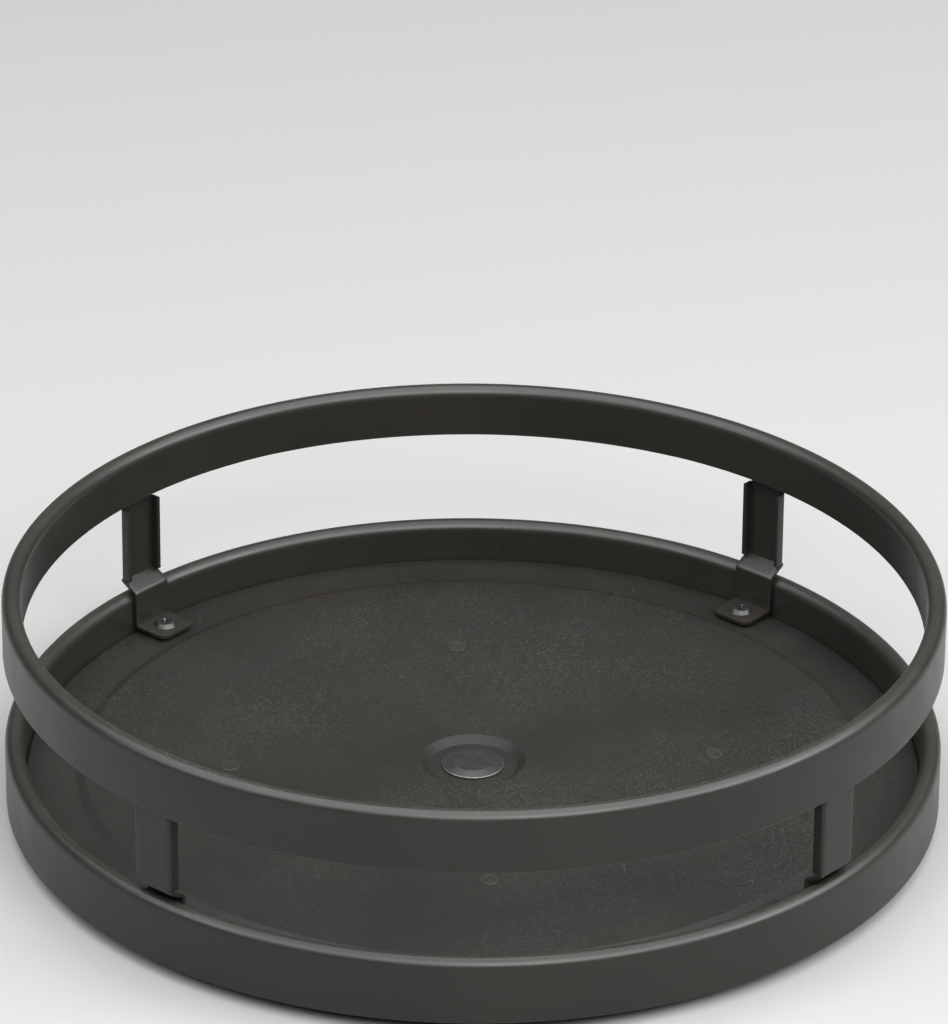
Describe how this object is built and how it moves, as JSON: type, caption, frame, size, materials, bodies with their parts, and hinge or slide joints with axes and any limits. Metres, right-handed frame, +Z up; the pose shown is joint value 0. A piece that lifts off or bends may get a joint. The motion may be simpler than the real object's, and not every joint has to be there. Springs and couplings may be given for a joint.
{
  "type": "lazy susan turntable",
  "caption": "Round metal countertop turntable: a flat tray with a folded rim and a raised guard rail on posts, spinning on a caged ball bearing over a base with rubber feet.",
  "frame": {"origin": "on the spin axis, in the plane that the rubber feet stand on", "axes": "+Z up along the spin axis; -Y towards the front, +X to the right; at rest the four posts stand at 45 degrees to X and Y"},
  "size_m": [0.3, 0.3, 0.0773],
  "materials": {
    "powder_coat": "satin charcoal-black powder coat",
    "black_fastener": "black oxide",
    "zinc_steel": "zinc plated",
    "ball_steel": "polished bearing steel",
    "nylon": "natural nylon",
    "rubber": "matt black rubber"
  },
  "bodies": {
    "base": {"base_plate": "powder_coat", "lower_race": "zinc_steel", "lower_race_rivets": "zinc_steel", "pivot_bushing": "nylon", "foot_1": "rubber", "foot_2": "rubber", "foot_3": "rubber", "foot_4": "rubber", "foot_5": "rubber", "foot_6": "rubber"},
    "turntable": {"guard_rail": "powder_coat", "tray_rim": "powder_coat", "tray_floor": "powder_coat", "post_front_right": "powder_coat", "post_rear_right": "powder_coat", "post_rear_left": "powder_coat", "post_front_left": "powder_coat", "post_screws": "black_fastener", "post_nuts": "zinc_steel", "upper_race": "zinc_steel", "upper_race_rivets": "powder_coat", "pivot_bolt": "black_fastener", "thrust_washer": "nylon", "pivot_washer": "zinc_steel", "pivot_nut": "zinc_steel"},
    "ball_cage": {"ball_cage": "nylon", "bearing_balls": "ball_steel"}
  },
  "joints": [
    {"name": "turntable_spin", "type": "hinge", "parent": "base", "child": "turntable", "pos_m": [0, 0, 0], "axis": [0, 0, 1], "continuous": true},
    {"name": "cage_spin", "type": "hinge", "parent": "base", "child": "ball_cage", "pos_m": [0, 0, 0], "axis": [0, 0, 1], "continuous": true}
  ],
  "couplings": [
    {"joint": "cage_spin", "follows": "turntable_spin", "ratio": 0.5}
  ]
}
